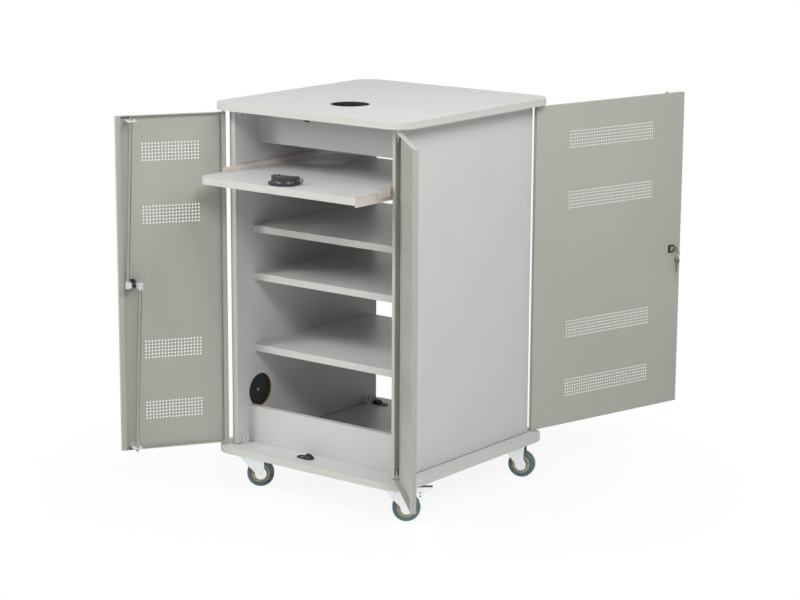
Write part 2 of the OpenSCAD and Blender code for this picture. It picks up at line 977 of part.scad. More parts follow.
// Rod with its eye at the origin, running up
module rod(length) {
  difference() {
    union() {
      translate([0, 0, eye_long - eye_root])
        cylinder(d = rod_d, h = length - eye_long + eye_root);
      translate([-eye_w / 2, -eye_t / 2, -eye_short])
        cube([eye_w, eye_t, eye_short + eye_long]);
    }
    rotate([90, 0, 0])
      cylinder(r = rod_pin_r + run, h = 2 * rod_d, center = true);
  }
}

module upper_rod(reach) {
  translate([reach - lock_inset + cam_reach, rod_y, lock_z])
    rotate([0, -upper_tilt, 0])
      rod(upper_rod_l);
}

module lower_rod(reach) {
  translate([reach - lock_inset - cam_reach, rod_y, lock_z])
    rotate([0, 180 - lower_tilt, 0])
      rod(lower_rod_l);
}

module left_leaf() {
  color("darkgray")
    at_left_leaf()
      difference() {
        door_pan(leaf_reach, leaf_vent_columns);
        lock_hole_cut(leaf_reach);
      }
}

module left_pivot_blocks() {
  color("lightgray")
    at_left_leaf()
      pivot_blocks();
}

module front_lock_body() {
  color("dimgray")
    at_left_leaf()
      lock_body(leaf_reach);
}

module front_rod_guides() {
  color("lightgray")
    at_left_leaf()
      rod_guides(leaf_reach);
}

module front_cam() {
  color("silver")
    at_left_leaf()
      plug_and_cam(leaf_reach);
}

module front_upper_rod() {
  color("lightgray")
    at_left_leaf()
      upper_rod(leaf_reach);
}

module front_lower_rod() {
  color("lightgray")
    at_left_leaf()
      lower_rod(leaf_reach);
}

module right_leaf() {
  color("darkgray")
    at_right_leaf()
      door_pan(leaf_reach, leaf_vent_columns);
}

module right_pivot_blocks() {
  color("lightgray")
    at_right_leaf()
      pivot_blocks();
}

module rear_door() {
  color("darkgray")
    at_rear_door()
      difference() {
        door_pan(rear_reach, rear_vent_columns);
        lock_hole_cut(rear_reach);
      }
}

module rear_pivot_blocks() {
  color("lightgray")
    at_rear_door()
      pivot_blocks();
}

module rear_lock_body() {
  color("black")
    at_rear_door()
      lock_body(rear_reach);
}

module rear_rod_guides() {
  color("lightgray")
    at_rear_door()
      rod_guides(rear_reach);
}

module rear_cam() {
  color("silver")
    at_rear_door()
      plug_and_cam(rear_reach);
}

module rear_upper_rod() {
  color("lightgray")
    at_rear_door()
      upper_rod(rear_reach);
}

module rear_lower_rod() {
  color("lightgray")
    at_rear_door()
      lower_rod(rear_reach);
}

// Key: a blade, a neck and a round bow with a hole, drawn with the blade along X and the bow at the origin
module key_shape(blade) {
  rotate([90, 0, 0])
    translate([0, 0, -key_t / 2])
      linear_extrude(key_t)
        difference() {
          union() {
            circle(d = key_bow);
            translate([0, -key_shank / 2])
              square([key_bow / 2 + blade, key_shank]);
          }
          translate([-key_bow / 2 + key_hole_r + 2.5, 0])
            circle(r = key_hole_r, $fn = 32);
        }
}

key_blade_in = 5;
key_blade_out = 5;
key_mid_y = -door_in - lock_plate_t - plug_out - key_blade_out - key_bow / 2;
key_hole_y = key_mid_y - key_bow / 2 + key_hole_r + 2.5;
ring_top_z = lock_z - key_hole_r + air + ring_wire / 2;
ring_low_z = ring_top_z - 2 * ring_r;

module lock_key() {
  color("silver")
    at_rear_door()
      translate([rear_reach - lock_inset, key_mid_y, lock_z])
        rotate([0, 0, 90])
          key_shape(key_blade_out + key_blade_in);
}

module key_ring() {
  color("silver")
    at_rear_door()
      translate([rear_reach - lock_inset, key_hole_y, ring_top_z - ring_r])
        rotate([90, 0, 0])
          rotate_extrude($fn = 64)
            translate([ring_r, 0])
              circle(d = ring_wire, $fn = 24);
}

module spare_key() {
  color("silver")
    at_rear_door()
      translate([rear_reach - lock_inset, key_hole_y, ring_low_z - key_hole_r + ring_wire / 2 + air])
        rotate([0, 0, 90])
          rotate([0, 90, 0])
            translate([key_bow / 2 - key_hole_r - 2.5, 0, 0])
              key_shape(spare_blade);
}

// Castors: the fork is drawn with its swivel axis at the origin and its wheel trailing along X
module at_castor(right, rear) {
  x = (right ? 1 : -1) * (board_w / 2 - castor_side);
  y = rear ? board_d / 2 - castor_rear : -board_d / 2 + castor_front;
  translate([x, y, 0])
    rotate([0, 0, rear ? rear_trail : front_trail])
      children();
}

module castor_plates() {
  color("silver")
    castor_spots() {
      difference() {
        translate([-castor_plate / 2, -castor_plate / 2, castor_h - plate_t])
          cube([castor_plate, castor_plate, plate_t]);
        translate([0, 0, castor_h - plate_t - past])
          cylinder(r = kingpin_r + run, h = plate_t + 2 * past);
        plate_screw_spots()
          translate([0, 0, castor_h - plate_t - past])
            cylinder(r = screw_r + run, h = plate_t + 2 * past, $fn = 24);
      }
      translate([0, 0, castor_h - plate_t - race_h])
        difference() {
          cylinder(r = race_r, h = race_h);
          translate([0, 0, -past])
            cylinder(r = kingpin_r + run, h = race_h + 2 * past);
        }
    }
}

// Side of a fork leg: down its leading edge to the axle, and up its trailing edge
fork_lead = [-13, crown_z - crown_t - 3];
fork_knee = [castor_trail - 34, axle_z + 22.5];
fork_crease = 2.5;
fork_crease_t = 1;

module fork_leg() {
  rotate([90, 0, 0])
    translate([0, 0, -fork_t / 2])
      linear_extrude(fork_t)
        difference() {
          union() {
            polygon([
              [fork_lead.x, crown_z], fork_lead, fork_knee, [castor_trail - 16, axle_z + 3.5],
              [castor_trail + axle_eye_r - 0.5, axle_z + 4], [castor_trail + 9, axle_z + 17.5],
              [castor_trail + 10, crown_z - crown_t], [castor_trail + 10, crown_z]
            ]);
            translate([castor_trail, axle_z])
              circle(r = axle_eye_r);
          }
          translate([castor_trail, axle_z])
            circle(r = axle_r + run);
        }
}

// Web that closes the front of the fork above the wheel
module fork_web() {
  run_down = 0.8 * (fork_knee - fork_lead);
  inward = fork_t * [-run_down.y, run_down.x] / norm(run_down);
  rotate([90, 0, 0])
    linear_extrude(2 * fork_gap + fork_t, center = true)
      polygon([fork_lead, fork_lead + run_down, fork_lead + run_down + inward, fork_lead + inward]);
}

module fork() {
  crown_w = 2 * fork_gap + 2 * fork_t;
  translate([0, 0, crown_z - crown_t])
    linear_extrude(crown_t)
      intersection() {
        union() {
          circle(r = crown_r);
          translate([0, -crown_w / 2])
            square([castor_trail + 10, crown_w]);
        }
        square([4 * castor_trail, crown_w], center = true);
      }
  translate([0, 0, crown_z - crown_t])
    cylinder(r = kingpin_r, h = castor_h - air - crown_z + crown_t);
  for (side = [0, 1])
    mirror([0, side, 0])
      difference() {
        translate([0, fork_gap + fork_t / 2, 0])
          fork_leg();
        translate([castor_trail - axle_eye_r - fork_crease, fork_gap + fork_t - fork_crease_t, axle_z + 5])
          cube([fork_crease, 2 * fork_crease_t, crown_z - crown_t - axle_z - 5]);
      }
  fork_web();
  translate([castor_trail, 0, axle_z])
    rotate([90, 0, 0]) {
      cylinder(r = axle_r, h = crown_w, center = true, $fn = 48);
      for (side = [0, 1])
        mirror([0, 0, side])
          translate([0, 0, crown_w / 2])
            difference() {
              cylinder(r = axle_head_r, h = axle_head_t, $fn = 48);
              translate([0, 0, axle_head_t - 1])
                cylinder(r = axle_head_r / 2, h = 1 + past, $fn = 48);
            }
    }
}

module tyre() {
  shoulder = 4;
  translate([castor_trail, 0, axle_z])
    rotate([90, 0, 0])
      rotate_extrude($fn = 128)
        polygon(concat(
          [[rim_r, -wheel_w / 2 + 1], [rim_r, wheel_w / 2 - 1]],
          [for (a = [90 : -15 : 0]) [
            wheel_d / 2 - shoulder + shoulder * cos(a), wheel_w / 2 - shoulder + shoulder * sin(a)]],
          [for (a = [0 : -15 : -90]) [
            wheel_d / 2 - shoulder + shoulder * cos(a), -wheel_w / 2 + shoulder + shoulder * sin(a)]]
        ));
}

module hub() {
  inner = axle_r + run;
  outer = rim_r - run;
  face_w = 9;
  translate([castor_trail, 0, axle_z])
    rotate([90, 0, 0])
      rotate_extrude($fn = 128)
        polygon([
          [inner, -hub_w / 2 - 1], [inner + bore_wall, -hub_w / 2 - 1], [inner + bore_wall, -web_w / 2],
          [outer - face_w - 2, -web_w / 2], [outer - face_w, 1 - hub_w / 2], [outer, -hub_w / 2],
          [outer, hub_w / 2], [outer - face_w, hub_w / 2 - 1], [outer - face_w - 2, web_w / 2],
          [inner + bore_wall, web_w / 2], [inner + bore_wall, hub_w / 2 + 1], [inner, hub_w / 2 + 1]
        ]);
}

// Brake pedal: arms outside the fork, a bar behind it, and two cheeks over the tyre under a tread plate
brake_t = 2;
brake_arm_r = 7;
brake_bar_x = castor_trail + 16;
brake_bar_w = 8;
brake_bar_h = 7;
brake_reach = castor_trail + 69.5;
brake_tread_w = 20;
brake_tread_t = 2.5;
brake_tread_z = castor_h - 9.5;
brake_shoe_x = castor_trail + 36;
brake_shoe_drop = 25.5;
brake_pin_r = 3;
brake_rivet_r = 2;

// Side of a cheek: its straight lower edge is the shoe, over the back of the tyre
module brake_cheek() {
  polygon([
    [brake_bar_x, brake_tread_z], [brake_reach - 1, brake_tread_z], [brake_reach - 1, brake_tread_z - 6.5],
    [brake_shoe_x + 12, brake_tread_z - 10.5], [brake_shoe_x + 9, brake_tread_z - brake_shoe_drop + 3],
    [brake_shoe_x, brake_tread_z - brake_shoe_drop],
    [brake_bar_x, brake_tread_z - 10]
  ]);
}

module brake_arm() {
  bar_z = brake_tread_z - 2;
  difference() {
    polygon([
      [brake_pivot_x - brake_arm_r, brake_pivot_z - brake_arm_r],
      [brake_pivot_x - brake_arm_r, brake_pivot_z + brake_arm_r],
      [brake_bar_x, bar_z], [brake_bar_x + brake_bar_w, bar_z],
      [brake_bar_x + brake_bar_w, bar_z - brake_bar_h],
      [brake_bar_x, bar_z - brake_bar_h - 2]
    ]);
    translate([brake_pivot_x, brake_pivot_z])
      circle(r = brake_pin_r + run, $fn = 32);
  }
}

module brake() {
  arm_y = fork_gap + fork_t + air;
  arm_w = arm_y + brake_t;
  for (side = [0, 1])
    mirror([0, side, 0]) {
      translate([0, arm_w, 0])
        rotate([90, 0, 0])
          linear_extrude(brake_t)
            brake_arm();
      translate([0, brake_tread_w / 2, 0])
        rotate([90, 0, 0])
          linear_extrude(brake_t)
            brake_cheek();
      for (z = [brake_tread_z - brake_shoe_drop + 4, brake_tread_z - 12])
        translate([brake_shoe_x, brake_tread_w / 2 - past, z])
          rotate([-90, 0, 0])
            cylinder(r = brake_rivet_r, h = 1 + past, $fn = 24);
    }
  translate([brake_bar_x, -arm_w, brake_tread_z - 2 - brake_bar_h])
    cube([brake_bar_w, 2 * arm_w, brake_bar_h]);
  translate([brake_bar_x, -brake_tread_w / 2, brake_tread_z])
    cube([brake_reach - brake_bar_x, brake_tread_w, brake_tread_t]);
}

module brake_pin() {
  pin_l = 2 * (fork_gap + fork_t + air + brake_t) + 1;
  translate([brake_pivot_x, 0, brake_pivot_z])
    rotate([90, 0, 0])
      cylinder(r = brake_pin_r, h = pin_l, center = true, $fn = 32);
}

module fork_front_left() {
  color("lightgray")
    at_castor(false, false)
      fork();
}

module tyre_front_left() {
  color("slategray")
    at_castor(false, false)
      tyre();
}

module hub_front_left() {
  color("tan")
    at_castor(false, false)
      hub();
}

module fork_front_right() {
  color("lightgray")
    at_castor(true, false) {
      fork();
      brake_pin();
    }
}

module tyre_front_right() {
  color("slategray")
    at_castor(true, false)
      tyre();
}

module hub_front_right() {
  color("tan")
    at_castor(true, false)
      hub();
}

module brake_front_right() {
  color("slategray")
    at_castor(true, false)
      brake();
}

module fork_rear_left() {
  color("lightgray")
    at_castor(false, true) {
      fork();
      brake_pin();
    }
}

module tyre_rear_left() {
  color("slategray")
    at_castor(false, true)
      tyre();
}

module hub_rear_left() {
  color("tan")
    at_castor(false, true)
      hub();
}

module brake_rear_left() {
  color("slategray")
    at_castor(false, true)
      brake();
}

module fork_rear_right() {
  color("lightgray")
    at_castor(true, true)
      fork();
}

module tyre_rear_right() {
  color("slategray")
    at_castor(true, true)
      tyre();
}

module hub_rear_right() {
  color("tan")
    at_castor(true, true)
      hub();
}

top_board();
cable_hole_liner();
base_board();
side_panel_left();
side_panel_right();
kick_panel();
front_fascia();
lower_shelf();
middle_shelf();
upper_shelf();
shelf_pins();
panel_connectors();
port_plug();
fixing_screws();
rod_keeps();
pivot_pins();
pivot_bushes();
cabinet_runners();
castor_plates();
middle_runners();
roller_left();
roller_right();
pullout_shelf();
shelf_runners();
anchor_body();
anchor_lock();
left_leaf();
left_pivot_blocks();
front_lock_body();
front_rod_guides();
front_cam();
front_upper_rod();
front_lower_rod();
right_leaf();
right_pivot_blocks();
rear_door();
rear_pivot_blocks();
rear_lock_body();
rear_rod_guides();
rear_cam();
rear_upper_rod();
rear_lower_rod();
lock_key();
key_ring();
spare_key();
fork_front_left();
tyre_front_left();
hub_front_left();
fork_front_right();
tyre_front_right();
hub_front_right();
brake_front_right();
fork_rear_left();
tyre_rear_left();
hub_rear_left();
brake_rear_left();
fork_rear_right();
tyre_rear_right();
hub_rear_right();
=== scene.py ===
import json
import math

import bmesh
import bpy
import numpy as np
from mathutils import Matrix, Vector

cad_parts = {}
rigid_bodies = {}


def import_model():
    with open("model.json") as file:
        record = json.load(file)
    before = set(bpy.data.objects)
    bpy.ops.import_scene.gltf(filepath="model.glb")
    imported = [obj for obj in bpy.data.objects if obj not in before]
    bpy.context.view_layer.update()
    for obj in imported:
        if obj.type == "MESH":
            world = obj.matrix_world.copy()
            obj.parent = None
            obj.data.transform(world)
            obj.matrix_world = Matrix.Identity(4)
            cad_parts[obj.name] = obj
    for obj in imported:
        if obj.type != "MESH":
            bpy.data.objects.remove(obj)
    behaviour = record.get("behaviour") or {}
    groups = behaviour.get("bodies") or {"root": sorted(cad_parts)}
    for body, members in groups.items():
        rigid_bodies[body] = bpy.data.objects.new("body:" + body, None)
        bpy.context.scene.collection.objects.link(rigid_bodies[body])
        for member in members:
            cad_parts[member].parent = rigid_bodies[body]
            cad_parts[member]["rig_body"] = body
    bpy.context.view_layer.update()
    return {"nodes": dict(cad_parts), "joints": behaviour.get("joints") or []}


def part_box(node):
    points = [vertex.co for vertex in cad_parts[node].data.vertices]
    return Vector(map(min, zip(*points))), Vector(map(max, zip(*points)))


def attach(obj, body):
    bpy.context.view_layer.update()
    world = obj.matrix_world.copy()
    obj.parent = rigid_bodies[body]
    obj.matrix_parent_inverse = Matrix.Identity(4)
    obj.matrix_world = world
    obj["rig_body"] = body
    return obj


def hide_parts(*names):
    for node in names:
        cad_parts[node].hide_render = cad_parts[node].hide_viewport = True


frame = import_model()


# Top board, base board and shelves: 19 mm chipboard faced with light grey melamine paper.
# Every cut edge carries a 1 mm ABS band, glued on hot and trimmed to the faces.
def linear(code):
    """An sRGB hex colour as linear red, green, blue and alpha: the sRGB curve, channel by channel."""
    s = np.array([int(code[i:i + 2], 16) for i in (1, 3, 5)]) / 255
    rgb = np.where(s <= 0.04045, s / 12.92, ((s + 0.055) / 1.055) ** 2.4)
    return (*rgb.tolist(), 1.0)


def add(tree, kind, inputs=None, **settings):
    """Adds one node: settings go on the node, and each input takes a value or another node's socket."""
    made = tree.nodes.new(kind)
    for name, value in settings.items():
        setattr(made, name, value)
    for name, value in (inputs or {}).items():
        if isinstance(value, bpy.types.NodeSocket):
            tree.links.new(value, made.inputs[name])
        else:
            made.inputs[name].default_value = value
    return made


def finish_named(name):
    """A new material with a Principled shader, its node tree, and that shader."""
    material = bpy.data.materials.new(name)
    material.use_nodes = True
    return material, material.node_tree, material.node_tree.nodes["Principled BSDF"]


def mottled(tree, low, high, patch_mm):
    """Colour that drifts between two tones over patches of the given size: noise on Object coordinates.

    Returns the colour's node and the coordinates' node. Most of the noise lies between 0.3 and 0.7.
    """
    place = add(tree, "ShaderNodeTexCoord")
    drift = add(tree, "ShaderNodeTexNoise", {
        "Vector": place.outputs["Object"], "Scale": 1000 / patch_mm, "Detail": 3.0, "Roughness": 0.5})
    spread = add(tree, "ShaderNodeMapRange", {
        "Value": drift.outputs["Fac"], "From Min": 0.3, "From Max": 0.7})
    tone = add(tree, "ShaderNodeMix", {
        "Factor": spread.outputs["Result"], "A": linear(low), "B": linear(high)}, data_type="RGBA")
    return tone, place


def grained(tree, shader, place, grain_mm, depth_mm, detail=2.0):
    """Fine relief from noise: grains of the given width and depth."""
    grain = add(tree, "ShaderNodeTexNoise", {
        "Vector": place.outputs["Object"], "Scale": 1000 / grain_mm, "Detail": detail})
    relief = add(tree, "ShaderNodeBump", {
        "Height": grain.outputs["Fac"], "Strength": 1.0, "Distance": depth_mm / 1000})
    tree.links.new(relief.outputs["Normal"], shader.inputs["Normal"])


def resin_skin(tree, shader, colour, roughness):
    """A skin of melamine, plastic or paint: its colour, its gloss, and the IOR that such resins share."""
    tree.links.new(colour.outputs["Result"], shader.inputs["Base Color"])
    shader.inputs["Roughness"].default_value = roughness
    shader.inputs["IOR"].default_value = 1.5


def melamine(name, face_axis, marks=None):
    """Melamine paper on the faces, with a soft gloss, and a warmer ABS band on the edges.

    An edge is where the normal has little of the face_axis. The paper's pressed grain is drawn 1.2 mm wide,
    coarser than the real one, so that it shows. The marks, where given, go over the colour.
    """
    edge_share = 0.6
    material, tree, shader = finish_named(name)
    paper, place = mottled(tree, "#cececd", "#d1d1d0", 140)
    normal = add(tree, "ShaderNodeSeparateXYZ", {"Vector": place.outputs["Normal"]})
    across = add(tree, "ShaderNodeMath", {0: normal.outputs[face_axis]}, operation="ABSOLUTE")
    edge = add(tree, "ShaderNodeMath", {0: across.outputs[0], 1: edge_share}, operation="LESS_THAN")
    colour = add(tree, "ShaderNodeMix", {
        "Factor": edge.outputs[0], "A": paper.outputs["Result"], "B": linear("#cfcfca")}, data_type="RGBA")
    if marks:
        colour = marks(tree, place, colour)
    resin_skin(tree, shader, colour, 0.42)
    grained(tree, shader, place, 1.2, 0.012)
    return material


def merged_copy(node, join_flats):
    """A copy of a CAD node's mesh with its doubles merged and, for a modifier, its flat faces joined."""
    double_gap, flat_angle = 2e-6, math.radians(0.5)
    shape = bmesh.new()
    shape.from_mesh(frame["nodes"][node].data)
    bmesh.ops.remove_doubles(shape, verts=shape.verts, dist=double_gap)
    if join_flats:
        bmesh.ops.dissolve_limit(
            shape, angle_limit=flat_angle, verts=shape.verts, edges=shape.edges,
            use_dissolve_boundaries=False)
    mesh = bpy.data.meshes.new(node + "_shape")
    shape.to_mesh(mesh)
    shape.free()
    return mesh


def stands_for(mesh, name, material, node):
    """A finished piece that takes a CAD node's place and rides on its body."""
    piece = bpy.data.objects.new(name, mesh)
    bpy.context.scene.collection.objects.link(piece)
    mesh.materials.clear()
    mesh.materials.append(material)
    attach(piece, frame["nodes"][node]["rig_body"])
    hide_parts(node)
    return piece


def eased(node, name, material, radius_mm, steps=2):
    """Stands for a CAD node with every sharp edge eased to a small radius, and smooth shading between.

    Full weight by face area keeps the shading of the flat faces flat.
    """
    mesh = merged_copy(node, True)
    mesh.shade_smooth()
    piece = stands_for(mesh, name, material, node)
    ease = piece.modifiers.new("eased_edges", "BEVEL")
    ease.width = radius_mm / 1000
    ease.segments = steps
    ease.limit_method = "ANGLE"
    ease.angle_limit = math.radians(34)
    even = piece.modifiers.new("flat_faces_stay_flat", "WEIGHTED_NORMAL")
    even.weight = 100
    return piece


level_melamine = melamine("melamine_faced_board_level", "Z")
for node in ("top_board", "base_board", "lower_shelf", "middle_shelf", "upper_shelf", "pullout_shelf"):
    eased(node, node + "_faced", level_melamine, 0.8)


# Side panels: the same board, standing, and held to the base board and the top board by connectors.
# The left one is bored through for cables, which leaves its chipboard bare, and both carry painted shade at
# the foot: a dark line for the shadow in the gap at the base board.
def bored_and_gap_shaded(tree, place, colour):
    """Bare chipboard within the port's radius on the left panel, and painted shade along the foot of both."""
    flange, past_bore, gap_shade_height, chip_mm = 0.004, 0.0005, 0.0016, 2.5
    low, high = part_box("port_plug")
    middle = [(a + b) / 2 for a, b in zip(low, high)]
    bore = (high[1] - low[1]) / 2 - flange + past_bore
    side = add(tree, "ShaderNodeVectorMath", {
        0: place.outputs["Object"], 1: (0, 1, 1)}, operation="MULTIPLY")
    away = add(tree, "ShaderNodeVectorMath", {
        0: side.outputs["Vector"], 1: (0, middle[1], middle[2])}, operation="DISTANCE")
    in_bore = add(tree, "ShaderNodeMath", {0: away.outputs["Value"], 1: bore}, operation="LESS_THAN")
    spot = add(tree, "ShaderNodeSeparateXYZ", {"Vector": place.outputs["Object"]})
    left = add(tree, "ShaderNodeMath", {0: spot.outputs["X"], 1: 0.0}, operation="LESS_THAN")
    bared = add(tree, "ShaderNodeMath", {0: in_bore.outputs[0], 1: left.outputs[0]}, operation="MULTIPLY")
    chip = add(tree, "ShaderNodeTexNoise", {
        "Vector": place.outputs["Object"], "Scale": 1000 / chip_mm, "Detail": 2.0})
    chipboard = add(tree, "ShaderNodeMix", {
        "Factor": chip.outputs["Fac"], "A": linear("#6b4a2c"), "B": linear("#a8845a")}, data_type="RGBA")
    bored = add(tree, "ShaderNodeMix", {
        "Factor": bared.outputs[0], "A": colour.outputs["Result"], "B": chipboard.outputs["Result"]},
        data_type="RGBA")
    # Painted shade: a dark line along the bottom 1.6 mm of each side panel, for the shadow in the gap at the
    # base board.
    foot_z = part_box("side_panel_left")[0][2] + gap_shade_height
    foot = add(tree, "ShaderNodeMath", {0: spot.outputs["Z"], 1: foot_z}, operation="LESS_THAN")
    return add(tree, "ShaderNodeMix", {
        "Factor": foot.outputs[0], "A": bored.outputs["Result"], "B": linear("#4a4a48")}, data_type="RGBA")


upright_melamine = melamine("melamine_faced_board_upright", "X", bored_and_gap_shaded)
for node in ("side_panel_left", "side_panel_right"):
    eased(node, node + "_faced", upright_melamine, 0.6)


# Kick panel and fascia: strips of the same board across the front, one on the base board and one under the
# top board, which stiffen the carcass.
cross_melamine = melamine("melamine_faced_board_across", "Y")
for node in ("kick_panel", "front_fascia"):
    eased(node, node + "_faced", cross_melamine, 0.6)


# Cable-hole liner and port plug: black nylon mouldings pushed into the holes, with a faint spark-eroded
# grain. The plug is a cup with a flange on the outside of the left panel.
def moulded(name, low, high, roughness, grain_mm=0.6, depth_mm=0.01):
    """Moulded plastic: an even colour with a slight drift every 15 mm, and the grain of the mould.

    The grain is drawn coarser than the real one, so that it shows.
    """
    material, tree, shader = finish_named(name)
    tone, place = mottled(tree, low, high, 15)
    resin_skin(tree, shader, tone, roughness)
    grained(tree, shader, place, grain_mm, depth_mm)
    return material


# Black nylon is near black, with a soft sheen.
black_nylon = moulded("black_nylon_moulded", "#18181a", "#202022", 0.42)
eased("cable_hole_liner", "cable_hole_liner_moulded", black_nylon, 0.4)
eased("port_plug", "port_plug_moulded", black_nylon, 0.6)


# Screws, shelf pins and castor plates: cold headed, turned or pressed steel with bright zinc plating.
# The screws hold the plates to the base board and the plug in its port, and the pins are pushed into holes
# in the side panels.
def plated(name, low, high, roughness, patch_mm=4):
    """Plated metal: a metallic colour that changes slightly from crystal to crystal, with uneven gloss.

    The crystals are drawn 2 to 4 mm wide, coarser than the real ones, so that they show.
    """
    less_rough, more_rough = roughness - 0.04, roughness + 0.06
    material, tree, shader = finish_named(name)
    place = add(tree, "ShaderNodeTexCoord")
    crystal = add(tree, "ShaderNodeTexVoronoi", {
        "Vector": place.outputs["Object"], "Scale": 1000 / patch_mm, "Randomness": 1.0})
    hue = add(tree, "ShaderNodeSeparateColor", {"Color": crystal.outputs["Color"]})
    tone = add(tree, "ShaderNodeMix", {
        "Factor": hue.outputs["Red"], "A": linear(low), "B": linear(high)}, data_type="RGBA")
    gloss = add(tree, "ShaderNodeMapRange", {
        "Value": hue.outputs["Green"], "To Min": less_rough, "To Max": more_rough})
    tree.links.new(tone.outputs["Result"], shader.inputs["Base Color"])
    tree.links.new(gloss.outputs["Result"], shader.inputs["Roughness"])
    shader.inputs["Metallic"].default_value = 1.0
    grained(tree, shader, place, 1.5, 0.006)
    return material


# Bright zinc is a pale, slightly blue metal with blurred reflections.
bright_zinc = plated("bright_zinc_plated_steel", "#cfd2d5", "#dcdee0", 0.34)
eased("fixing_screws", "fixing_screws_plated", bright_zinc, 0.3)
eased("shelf_pins", "shelf_pins_plated", bright_zinc, 0.3)
eased("castor_plates", "castor_plates_plated", bright_zinc, 0.4)


# Corner connectors, pivot bushes and pivot blocks: white nylon mouldings. The connectors are screwed to the
# boards, the bushes are pressed into the boards, and the blocks fill the ends of the doors.
# White nylon is milky, with a soft sheen.
white_nylon = moulded("white_nylon_moulded", "#dcdcd8", "#e4e4e1", 0.4)
eased("panel_connectors", "panel_connectors_moulded", white_nylon, 0.6)
eased("pivot_bushes", "pivot_bushes_moulded", white_nylon, 0.3)
for node in ("left_pivot_blocks", "right_pivot_blocks", "rear_pivot_blocks"):
    eased(node, node + "_moulded", white_nylon, 0.4)


# Rod keeps: the same black nylon, moulded as oval plates with a domed hood beside the slot.
# They are screwed over the sockets in the boards that take the lock rods' tips.
eased("rod_keeps", "rod_keeps_moulded", black_nylon, 0.8)


# Pivot pins: turned steel, zinc plated with a blue passivation.
# They stand in the bushes and carry the doors. The passivation leaves a darker and bluer metal.
blue_zinc = plated("blue_passivated_zinc_plated_steel", "#b2b7bd", "#c0c4c9", 0.34)
eased("pivot_pins", "pivot_pins_plated", blue_zinc, 0.4)


# Telescopic runners: rolled steel channel with cream epoxy enamel, and white nylon rollers on riveted axles.
# The axle's riveted end shows bare at the outside of the middle member.
def coated(name, low, high, roughness, peel_mm, depth_mm, patch_mm=80):
    """Sprayed and baked coating: a slow drift of tone and the orange peel of the powder."""
    material, tree, shader = finish_named(name)
    tone, place = mottled(tree, low, high, patch_mm)
    resin_skin(tree, shader, tone, roughness)
    grained(tree, shader, place, peel_mm, depth_mm, 1.0)
    return material


def repaint(piece, material, test):
    """Gives one more material to a piece, on the faces whose middle passes the test."""
    mesh = piece.data
    mesh.materials.append(material)
    middles = np.empty(3 * len(mesh.polygons))
    mesh.polygons.foreach_get("center", middles)
    chosen = test(middles.reshape(-1, 3))
    marks = np.zeros(len(mesh.polygons), dtype=np.int32)
    mesh.polygons.foreach_get("material_index", marks)
    marks[chosen] = len(mesh.materials) - 1
    mesh.polygons.foreach_set("material_index", marks)
    mesh.update()


joints = {joint["name"]: joint for joint in frame["joints"]}


def place_and_axis(joint):
    """A joint's place and its axis, as arrays."""
    return np.array(joints[joint]["pos_m"]), np.array(joints[joint]["axis"])


def on_axle_end(p):
    """Test for points within the radius of the rollers' axle, which runs along X."""
    axle_radius = 0.002
    axle = place_and_axis("roller_turn_right")[0]
    return np.hypot(p[:, 1] - axle[1], p[:, 2] - axle[2]) < axle_radius


# Epoxy enamel is a warm cream, even and fairly glossy.
cream_enamel = coated("cream_epoxy_enamel_on_steel", "#dfd8d2", "#e6dfda", 0.35, 1.5, 0.01)
for node in ("cabinet_runners", "shelf_runners"):
    eased(node, node + "_enamelled", cream_enamel, 0.35)
middle_members = eased("middle_runners", "middle_runners_enamelled", cream_enamel, 0.35)
repaint(middle_members, bright_zinc, on_axle_end)
for node in ("roller_left", "roller_right"):
    eased(node, node + "_moulded", white_nylon, 0.3)


# Security anchor: an ABS moulding with a hollow flare at its foot, fixed on the pull-out shelf, and a plated
# lock barrel in its flat back. The ABS is blue-black and glossy, and its long ripples bend the reflections.
# The barrel's zinc is duller and greyer than the screws'.
anchor_abs = moulded("glossy_blue_black_abs", "#262a2f", "#2c3136", 0.22, 3.0, 0.004)
eased("anchor_body", "anchor_body_moulded", anchor_abs, 0.8, 3)
dull_zinc = plated("dull_zinc_plated_steel", "#9c9b97", "#acaba6", 0.36, 3)
eased("anchor_lock", "anchor_lock_plated", dull_zinc, 0.4)


# Doors: 1 mm steel sheet, punched with vents, folded into pans and powder coated in a half-matt warm grey.
# The bends and the punched holes keep the CAD's own facets, with flat shading.
door_powder = coated("warm_grey_powder_coat_on_steel", "#b0b1a7", "#b4b5ac", 0.42, 1.6, 0.015, 250)
for node in ("left_leaf", "right_leaf", "rear_door"):
    sheet = merged_copy(node, False)
    sheet.shade_flat()
    stands_for(sheet, node + "_coated", door_powder, node)


# Espagnolette locks: black coated zinc castings, each clamped to its door by a nut, and a plated cam that a
# black nut holds on the plug. The cam's pins move two dull zinc-plated rods, which end in white nylon eyes
# and slide in white rod guides.
def on_nut(lock):
    """Test for points on a cam's nut: about the lock's axis, and past the cam's inner face."""
    nut_radius, cam_face = 0.0068, -0.0035
    spot, along = place_and_axis(lock)

    def test(p):
        reach = (p - spot) @ along
        aside = np.linalg.norm(p - spot - np.outer(reach, along), axis=1)
        return (aside < nut_radius) & (reach > cam_face)

    return test


def on_eye(pivot):
    """Test for points on a rod's eye: within its reach of the rod's pivot."""
    eye_reach = 0.018
    spot = place_and_axis(pivot)[0]
    return lambda p: np.linalg.norm(p - spot, axis=1) < eye_reach


